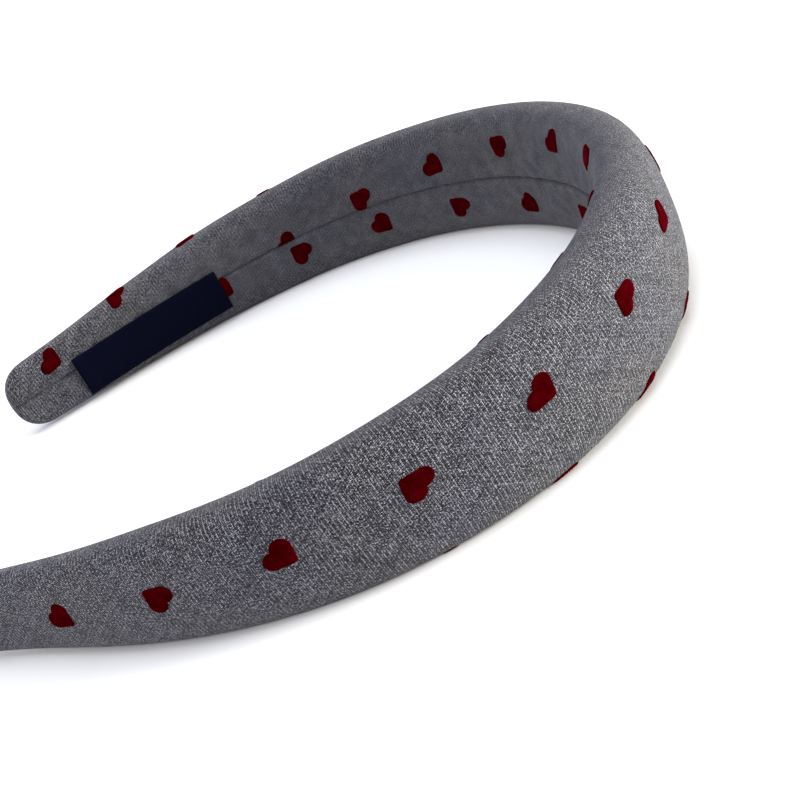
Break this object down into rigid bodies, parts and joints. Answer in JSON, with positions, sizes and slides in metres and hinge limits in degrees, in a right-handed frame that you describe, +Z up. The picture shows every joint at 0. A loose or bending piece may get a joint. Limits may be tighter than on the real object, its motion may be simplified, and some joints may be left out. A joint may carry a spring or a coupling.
{
  "type": "padded heart headband",
  "caption": "Padded fabric headband, domed outside and seamed inside, tapering to rounded ends, with small raised hearts and a bare label tab.",
  "frame": {"origin": "on the surface that the headband lies on, under the middle of its bounding box", "axes": "+X out through the crown, -Y towards the near arm, +Z up across the width of the band, which lies on its side"},
  "size_m": [0.1626, 0.1588, 0.0321],
  "materials": {
    "heather_twill": "matt wool-like twill, blue-grey heather with light and dark flecks",
    "wine_flock": "short velvety flock, wine red, slightly raised",
    "dark_ribbon": "fine woven ribbon, near black navy, slight satin sheen"
  },
  "bodies": {
    "root": {"padded_band": "heather_twill", "heart_01": "wine_flock", "heart_02": "wine_flock", "heart_03": "wine_flock", "heart_04": "wine_flock", "heart_05": "wine_flock", "heart_06": "wine_flock", "heart_07": "wine_flock", "heart_08": "wine_flock", "heart_09": "wine_flock", "heart_10": "wine_flock", "heart_11": "wine_flock", "heart_12": "wine_flock", "heart_13": "wine_flock", "heart_14": "wine_flock", "heart_15": "wine_flock", "heart_16": "wine_flock", "heart_17": "wine_flock", "heart_18": "wine_flock", "heart_19": "wine_flock", "heart_20": "wine_flock", "heart_21": "wine_flock", "heart_22": "wine_flock", "heart_23": "wine_flock", "heart_24": "wine_flock", "heart_25": "wine_flock", "heart_26": "wine_flock", "heart_27": "wine_flock", "heart_28": "wine_flock", "heart_29": "wine_flock", "heart_30": "wine_flock", "heart_31": "wine_flock", "heart_32": "wine_flock", "heart_33": "wine_flock", "heart_34": "wine_flock", "heart_35": "wine_flock", "heart_36": "wine_flock", "heart_37": "wine_flock", "heart_38": "wine_flock", "heart_39": "wine_flock", "heart_40": "wine_flock", "heart_41": "wine_flock", "heart_42": "wine_flock", "heart_43": "wine_flock", "heart_44": "wine_flock", "heart_45": "wine_flock", "heart_46": "wine_flock", "heart_47": "wine_flock", "heart_48": "wine_flock", "heart_49": "wine_flock", "heart_50": "wine_flock", "heart_51": "wine_flock", "heart_52": "wine_flock", "label": "dark_ribbon"}
  },
  "joints": []
}
